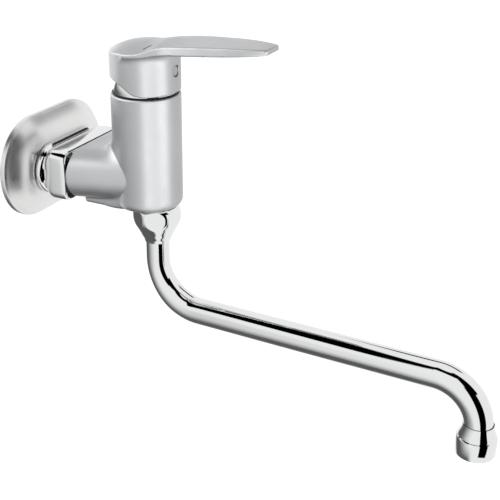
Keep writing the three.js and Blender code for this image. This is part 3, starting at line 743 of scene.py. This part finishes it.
class TAP_OT_spout_nut(bpy.types.Operator):
    """Bulb-shaped union nut with six soft flats under the body"""

    bl_idname = "tap.spout_nut"
    bl_label = "Spout nut"

    def execute(self, context):
        low, top = NUT_LOW[2], NUT_HIGH[2]
        bulb = smooth_line([
            (-47.4, 9.0), (-45.1, 9.8), (-42.8, 11.0), (-40.5, 12.1), (-38.2, 13.3), (-36, 14.4),
            (-33.7, 15.5), (-31, 16.2), (-28.5, 16.35), (-26, 16.2), (-24, 15.6), (-22.6, 14.7), (-21.8, 14.0),
        ])
        sides, flat, turn, edge = 240, 14.75, math.radians(56), 0.5
        bore, bore_floor, throat = 13.2, -27, 8.6
        angles = np.linspace(0, 2 * math.pi, sides, endpoint=False)
        sixth = math.pi / 3
        across = flat / np.cos((angles - turn + sixth / 2) % sixth - sixth / 2)
        heights = (np.linspace(low, -44, 12), np.linspace(-43.6, -22.6, 46), np.linspace(-22.4, top, 5))
        middle, rings = (SWIVEL_X, 0), []
        for z in np.concatenate(heights):
            rings.append(level_ring(middle, join(bulb(np.full(sides, z)), across, edge), z, angles))
        for r, z in ((bore, top), (bore, bore_floor), (throat, bore_floor - 0.2), (throat, low)):
            rings.append(level_ring(middle, r, z, angles))
        points, faces = ring_loop(rings)
        piece = make_mesh("spout_union_nut", points, faces, 30)
        finish_piece(piece, "mixer_body", "polished_chrome", "spout_nut")
        return {"FINISHED"}


def spout_line():
    """Centre line of the spout as points in millimetres, with the two bends."""
    rise, reach, low = math.radians(2.3), 235.6, -95.2
    first_bend, second_bend, tube_top, outlet_overlap = 33.3, 27.7, -24.0, 6.0
    down, out = np.array([0, 0, -1.0]), np.array([math.cos(rise), 0, math.sin(rise)])
    half = (math.pi / 2 + rise) / 2
    corners = [(np.array([0, 0, low]), down, out, first_bend)]
    corners.append((np.array([reach, 0, low + reach * math.tan(rise)]), out, down, second_bend))
    points = [np.array([0, 0, tube_top])]

    def straight(to, step=6.0):
        gap = to - points[-1]
        count = max(1, int(np.linalg.norm(gap) / step))
        start = points[-1]
        for i in range(1, count + 1):
            points.append(start + gap * i / count)

    for corner, before, after, radius in corners:
        cut = radius * math.tan(half)
        straight(corner - before * cut)
        aside = after - before * after.dot(before)
        aside /= np.linalg.norm(aside)
        middle = corner - before * cut + aside * radius
        for a in np.linspace(0, 2 * half, 30)[1:]:
            points.append(middle + radius * (math.sin(a) * before - math.cos(a) * aside))
    straight(np.array([reach, 0, COLLAR_HIGH[2] - outlet_overlap]), 3.0)
    return np.array(points)


def place_spout(points):
    """Turns the spout's points to its rest angle and moves them under the body."""
    turn = bpy.context.scene.tap_sizes.spout_turn
    c, s = math.cos(turn), math.sin(turn)
    x, y, z = points.T
    return np.column_stack([SWIVEL_X + c * x - s * y, s * x + c * y, z])


class TAP_OT_spout_tube(bpy.types.Operator):
    """Seamless spout tube with both bends, hollow through its whole length"""

    bl_idname = "tap.spout_tube"
    bl_label = "Spout tube"

    def execute(self, context):
        sizes = context.scene.tap_sizes
        wall, widen_from, widen_over = 1.0, 66, 46
        line = spout_line()
        angles = np.linspace(0, 2 * math.pi, 96, endpoint=False)
        tangents = np.gradient(line, axis=0)
        tangents /= np.linalg.norm(tangents, axis=1)[:, None]
        side = np.array([0, 1.0, 0])
        outer, inner = [], []
        for p, t in zip(line, tangents):
            widen = np.clip((p[0] - p[2] - widen_from) / widen_over, 0, 1)
            widen = widen * widen * (3 - 2 * widen)
            radius = (sizes.neck_radius * (1 - widen) + sizes.tube_radius * widen) / MM
            up = np.cross(t, side)
            ring = np.outer(np.cos(angles), side) + np.outer(np.sin(angles), up)
            outer.append(p + ring * radius)
            inner.append(p + ring * (radius - wall))
        points, faces = ring_loop(outer + inner[::-1])
        piece = make_mesh("spout_tube_skin", place_spout(points), faces, 40)
        finish_piece(piece, "spout_arm", "polished_chrome", "spout_tube")
        return {"FINISHED"}


class TAP_OT_outlet(bpy.types.Operator):
    """Outlet collar with its bell above, open for the aerator"""

    bl_idname = "tap.outlet"
    bl_label = "Outlet collar"

    def execute(self, context):
        low, high = COLLAR_LOW[2], COLLAR_HIGH[2]
        radius = (COLLAR_HIGH[0] - COLLAR_LOW[0]) / 2
        rim, wall = high - 9.0, 2.0
        bell = [(9.42, rim + 2.6), (9.45, high), (9.6, high - 1.5), (9.9, high - 3.2), (10.4, high - 4.8)]
        bell += [(11.1, high - 6.4), (11.55, rim + 1.4), (11.6, rim + 0.75), (11.45, rim + 0.55)]
        collar = [(radius - 0.75, rim + 0.35), (radius - 0.25, rim + 0.05), (radius, rim - 0.5)]
        collar += [(radius, low + 1.0), (radius - 0.3, low + 0.3), (radius - 1.0, low), (radius - wall, low)]
        collar.append((radius - wall, rim + 1.4))
        points, faces = lathe(bell + collar, COLLAR_MID[:2], 160)
        piece = make_mesh("outlet_bell_and_collar", points, turned_over(faces), 38)
        finish_piece(piece, "spout_arm", "polished_chrome", "outlet_collar")
        return {"FINISHED"}


class TAP_OT_inner_finishes(bpy.types.Operator):
    """Procedural finishes on every CAD piece that stays as it is"""

    bl_idname = "tap.inner_finishes"
    bl_label = "Inner finishes"

    def execute(self, context):
        slots = {s["node"]: s["material_slot"] for s in FRAME["record"]["subparts"]}
        for node, piece in FRAME["nodes"].items():
            if piece.hide_render:
                continue
            material = finish(slots[node])
            if not piece.material_slots:
                piece.data.materials.append(material)
            for slot in piece.material_slots:
                slot.material = material
        return {"FINISHED"}


# ------------------------------------------------------------------ studio
FLOOR_Z, FLOOR_HALF = -1.1, 9.0
FLOOR_PAINT, FLOOR_GLOW = 0.5, 0.85
ROOM_COLOUR, ROOM_LIGHT = (0.95, 0.96, 1.0), 0.55
FLAG_RADIUS, FLAG_CENTRE = 2.5, (0.18, 0.0, -0.03)
# Name, azimuths, elevations, brightness, and the fade at the left, right, lower and upper edge; in degrees.
FLAGS = (
    ("upright", (-57, -16), (-42, 36), 0.0, (2, 2, 2, 2)),
    ("shoulder", (-52, 3), (28, 70), 0.0, (2, 2, 2, 2)),
    ("over_top", (-150, 0), (57, 77), 0.0, (2, 2, 2, 4)),
    ("header", (-182, -122), (37, 68), 0.0, (3, 4, 2, 3)),
    ("low_left", (-215, -140), (-60, 8), 0.12, (20, 80, 20, 20)),
    ("low_floor", (-200, -102), (-89, -40), 0.1, (20, 30, 1, 60)),
    ("low_back", (120, 240), (-89, -50), 0.2, (12, 12, 1, 12)),
    ("over_neck", (62, 112), (33, 46), 0.03, (6, 6, 4, 4)),
)
LAMP_AIM, LAMP_AWAY = (0.09, 0.0, 0.03), 1.2
# Name, azimuth and elevation in degrees, size in metres, and radiance. The lamps light the satin body
# and lever only, which render lighter than their colour is written.
LAMPS = (
    ("front_softbox", -31, -12, (1.9, 1.6), 1.75),
    ("back_softbox", 166, -12, (1.6, 1.6), 1.3),
    ("side_softbox", -142, 30, (1.2, 1.3), 1.7),
    ("top_softbox", 118, 12, (1.0, 0.5), 0.3),
    ("arm_softbox", -112, 56, (1.0, 0.8), 0.75),
)
CAMERA_PLACE = (0.402198, -0.5324, 0.225654)
CAMERA_RIGHT = (0.89419, 0.44768, 0.00241)
CAMERA_UP = (-0.18928, 0.37319, 0.90824)
CAMERA_LENS, CAMERA_SHIFT = 70.44, (0.0536, 0.0085)


def direction(azimuth, elevation):
    """Unit vector, or grid of them, towards angles in radians."""
    level = np.cos(elevation)
    return np.stack([level * np.cos(azimuth), level * np.sin(azimuth), np.sin(elevation)], -1)


def bare_material(name):
    """A material whose tree holds only its output."""
    material = bpy.data.materials.new(name)
    material.use_nodes = True
    tree = material.node_tree
    tree.nodes.clear()
    return material, tree, tree.nodes.new("ShaderNodeOutputMaterial")


def flag(name, azimuths, elevations, shade, fades):
    """A studio flag: part of a sphere round the tap that only reflections see, fading at its edges."""
    left, right, lower, upper = fades
    west, east = azimuths
    south, north = elevations
    rows, columns, pole = 48, 72, 89.9
    lon = np.linspace(west - left / 2, east + right / 2, columns)
    lat = np.clip(np.linspace(south - lower / 2, north + upper / 2, rows), -pole, pole)
    lon, lat = np.meshgrid(lon, lat)

    def fade(inside, width):
        t = np.clip(inside / width + 0.5, 0, 1)
        return t * t * (3 - 2 * t)

    cover = fade(lon - west, left) * fade(east - lon, right)
    cover *= fade(lat - south, lower) * fade(north - lat, upper)
    points = direction(np.radians(lon), np.radians(lat)).reshape(-1, 3) * FLAG_RADIUS + np.array(FLAG_CENTRE)
    faces = [
        (i * columns + j, i * columns + j + 1, (i + 1) * columns + j + 1, (i + 1) * columns + j)
        for i in range(rows - 1)
        for j in range(columns - 1)
    ]
    mesh = bpy.data.meshes.new(name)
    mesh.from_pydata([tuple(p) for p in points], [], faces)
    mesh.attributes.new("cover", "FLOAT", "POINT").data.foreach_set("value", cover.ravel())
    material, tree, out = bare_material(name + "_shade")
    glow = tree.nodes.new("ShaderNodeEmission")
    glow.inputs["Color"].default_value = (shade, shade, shade * 1.03, 1)
    clear = tree.nodes.new("ShaderNodeBsdfTransparent")
    share = tree.nodes.new("ShaderNodeAttribute")
    share.attribute_name = "cover"
    mix = tree.nodes.new("ShaderNodeMixShader")
    tree.links.new(share.outputs["Fac"], mix.inputs["Fac"])
    tree.links.new(clear.outputs[0], mix.inputs[1])
    tree.links.new(glow.outputs[0], mix.inputs[2])
    tree.links.new(mix.outputs[0], out.inputs["Surface"])
    mesh.materials.append(material)
    piece = place(name, mesh)
    piece.visible_camera = False
    piece.visible_diffuse = False
    piece.visible_shadow = False


def add_floor():
    """Pale floor well below the tap, near white and left out of reflections."""
    half = FLOOR_HALF
    corners = [(x, y, FLOOR_Z) for x, y in ((-half, -half), (half, -half), (half, half), (-half, half))]
    mesh = bpy.data.meshes.new("floor")
    mesh.from_pydata(corners, [], [(0, 1, 2, 3)])
    material, tree, out = bare_material("floor_paint")
    paint = tree.nodes.new("ShaderNodeBsdfDiffuse")
    paint.inputs["Color"].default_value = (FLOOR_PAINT, FLOOR_PAINT, FLOOR_PAINT, 1)
    path = tree.nodes.new("ShaderNodeLightPath")
    glow = tree.nodes.new("ShaderNodeEmission")
    glow.inputs["Color"].default_value = (FLOOR_GLOW, FLOOR_GLOW, FLOOR_GLOW, 1)
    both = tree.nodes.new("ShaderNodeAddShader")
    tree.links.new(path.outputs["Is Camera Ray"], glow.inputs["Strength"])
    tree.links.new(paint.outputs[0], both.inputs[0])
    tree.links.new(glow.outputs[0], both.inputs[1])
    tree.links.new(both.outputs[0], out.inputs["Surface"])
    mesh.materials.append(material)
    piece = place("floor", mesh)
    piece.visible_glossy = False


def lamp(name, azimuth, elevation, size, radiance, lit):
    """A soft rectangular lamp aimed at the tap, which lights only a collection of pieces."""
    data = bpy.data.lights.new(name, "AREA")
    data.shape = "RECTANGLE"
    data.size, data.size_y = size
    data.energy = radiance * math.pi * size[0] * size[1]
    toward = Vector(direction(math.radians(azimuth), math.radians(elevation)))
    holder = place(name, data)
    holder.location = Vector(LAMP_AIM) + toward * LAMP_AWAY
    holder.rotation_euler = toward.to_track_quat("Z", "Y").to_euler()
    holder.visible_camera = False
    holder.light_linking.receiver_collection = lit


def gathered(name, pieces):
    """A collection that holds the named pieces, for the lamps to light."""
    group = bpy.data.collections.new(name)
    for piece in pieces:
        group.objects.link(bpy.data.objects[piece])
    return group


def add_room(scene):
    """World that is white to the camera and to mirrors, and a soft even light to everything else."""
    world = bpy.data.worlds.new("white_room")
    scene.world = world
    world.use_nodes = True
    tree = world.node_tree
    tree.nodes.clear()
    path = tree.nodes.new("ShaderNodeLightPath")
    seen = path.outputs["Is Camera Ray"]
    for ray in ("Is Glossy Ray", "Is Transmission Ray"):
        either = tree.nodes.new("ShaderNodeMath")
        either.operation = "MAXIMUM"
        tree.links.new(seen, either.inputs[0])
        tree.links.new(path.outputs[ray], either.inputs[1])
        seen = either.outputs[0]
    mix = tree.nodes.new("ShaderNodeMixShader")
    tree.links.new(seen, mix.inputs["Fac"])
    for socket, colour, strength in ((1, ROOM_COLOUR, ROOM_LIGHT), (2, (1, 1, 1), 1.0)):
        light = tree.nodes.new("ShaderNodeBackground")
        light.inputs["Color"].default_value = (*colour, 1)
        light.inputs["Strength"].default_value = strength
        tree.links.new(light.outputs[0], mix.inputs[socket])
    out = tree.nodes.new("ShaderNodeOutputWorld")
    tree.links.new(mix.outputs[0], out.inputs["Surface"])


def add_camera(scene):
    """Camera on the tap's -Y side, out from the wall and above, with a small lens shift."""
    lens = bpy.data.cameras.new("tap_camera")
    lens.sensor_width = 36.0
    lens.lens = CAMERA_LENS
    lens.shift_x, lens.shift_y = CAMERA_SHIFT
    lens.clip_start = 0.01
    right, up = Vector(CAMERA_RIGHT), Vector(CAMERA_UP)
    turn = Matrix((right, up, right.cross(up))).transposed().to_4x4()
    camera = place("tap_camera", lens)
    camera.matrix_world = Matrix.Translation(CAMERA_PLACE) @ turn
    scene.camera = camera


class TAP_OT_stage(bpy.types.Operator):
    """White room, floor, studio flags, lamps and the camera"""

    bl_idname = "tap.stage"
    bl_label = "Stage"

    def execute(self, context):
        scene = context.scene
        scene.view_settings.view_transform = "Standard"
        add_room(scene)
        for settings in FLAGS:
            flag(*settings)
        add_floor()
        satin = gathered("satin_pieces", ("body_skin", "lever_skin"))
        for settings in LAMPS:
            lamp(*settings, satin)
        add_camera(scene)
        return {"FINISHED"}


STEPS = (
    TAP_OT_wall_plate,
    TAP_OT_neck,
    TAP_OT_body,
    TAP_OT_lever,
    TAP_OT_seam_and_dome,
    TAP_OT_spout_nut,
    TAP_OT_spout_tube,
    TAP_OT_outlet,
    TAP_OT_inner_finishes,
    TAP_OT_stage,
)


class TAP_PT_panel(bpy.types.Panel):
    """Lists the sizes, finishes and build steps of the tap"""

    bl_idname = "TAP_PT_panel"
    bl_label = "Mixer tap"
    bl_space_type = "VIEW_3D"
    bl_region_type = "UI"
    bl_category = "Mixer Tap"

    def draw(self, context):
        for group in (context.scene.tap_sizes, context.scene.tap_finishes):
            box = self.layout.box()
            for name in group.__annotations__:
                box.prop(group, name)
        for step in STEPS:
            self.layout.operator(step.bl_idname)


CLASSES = (TapSizes, TapFinishes, *STEPS, TAP_PT_panel)


def register():
    """Registers the classes and adds the settings to the scene."""
    for cls in CLASSES:
        bpy.utils.register_class(cls)
    bpy.types.Scene.tap_sizes = bpy.props.PointerProperty(type=TapSizes)
    bpy.types.Scene.tap_finishes = bpy.props.PointerProperty(type=TapFinishes)


def unregister():
    """Removes the settings and the classes."""
    del bpy.types.Scene.tap_finishes
    del bpy.types.Scene.tap_sizes
    for cls in reversed(CLASSES):
        bpy.utils.unregister_class(cls)


def main():
    """Builds every piece and the stage in order."""
    register()
    for step in STEPS:
        group, name = step.bl_idname.split(".")
        getattr(getattr(bpy.ops, group), name)()


if __name__ == "__main__":
    main()
